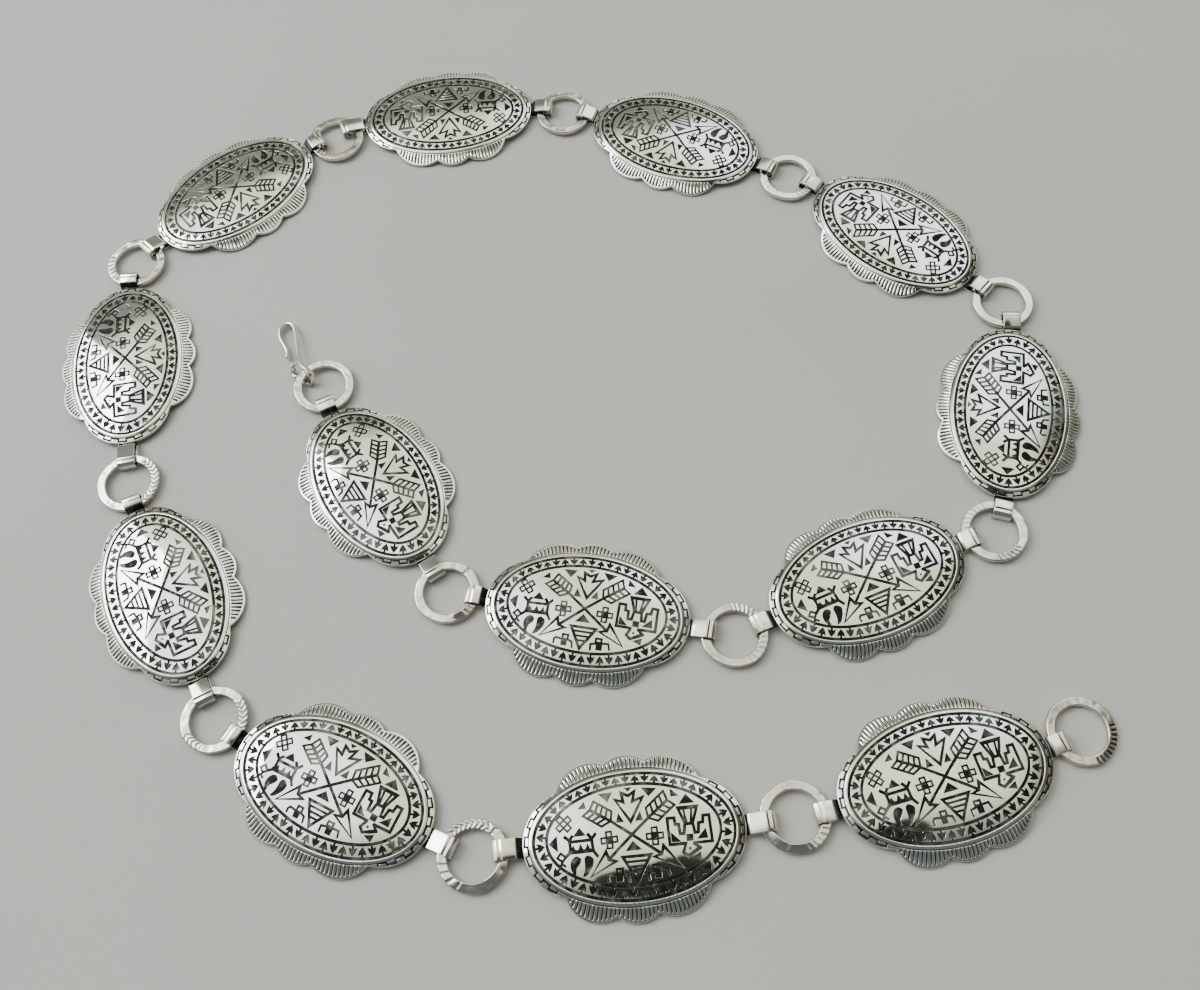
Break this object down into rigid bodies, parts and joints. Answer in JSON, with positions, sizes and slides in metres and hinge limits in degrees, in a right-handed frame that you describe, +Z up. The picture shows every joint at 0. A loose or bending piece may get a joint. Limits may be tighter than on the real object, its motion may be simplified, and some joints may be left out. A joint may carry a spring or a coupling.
{
  "type": "metal concho belt",
  "caption": "Stamped metal link belt: domed oval plates with scalloped sides, joined end to end by flat round rings in strap eyes, with a bent strip hook; lying open.",
  "frame": {"origin": "middle of the belt's outline, on the surface that it lies on", "axes": "+Z up, +X to the right and +Y away from a person who looks at the open side of the spiral"},
  "size_m": [0.2794, 0.2612, 0.0044],
  "materials": {
    "blackened_silver": "polished nickel silver, stamped lines blackened",
    "worn_silver": "worn nickel silver with a hammered face"
  },
  "bodies": {
    "root": {"concho_01": "blackened_silver", "concho_02": "blackened_silver", "concho_03": "blackened_silver", "concho_04": "blackened_silver", "concho_05": "blackened_silver", "concho_06": "blackened_silver", "concho_07": "blackened_silver", "concho_08": "blackened_silver", "concho_09": "blackened_silver", "concho_10": "blackened_silver", "concho_11": "blackened_silver", "concho_12": "blackened_silver", "concho_13": "blackened_silver", "ring_00": "worn_silver", "ring_01": "worn_silver", "ring_02": "worn_silver", "ring_03": "worn_silver", "ring_04": "worn_silver", "ring_05": "worn_silver", "ring_06": "worn_silver", "ring_07": "worn_silver", "ring_08": "worn_silver", "ring_09": "worn_silver", "ring_10": "worn_silver", "ring_11": "worn_silver", "ring_12": "worn_silver", "ring_13": "worn_silver", "hook": "worn_silver"}
  },
  "joints": []
}
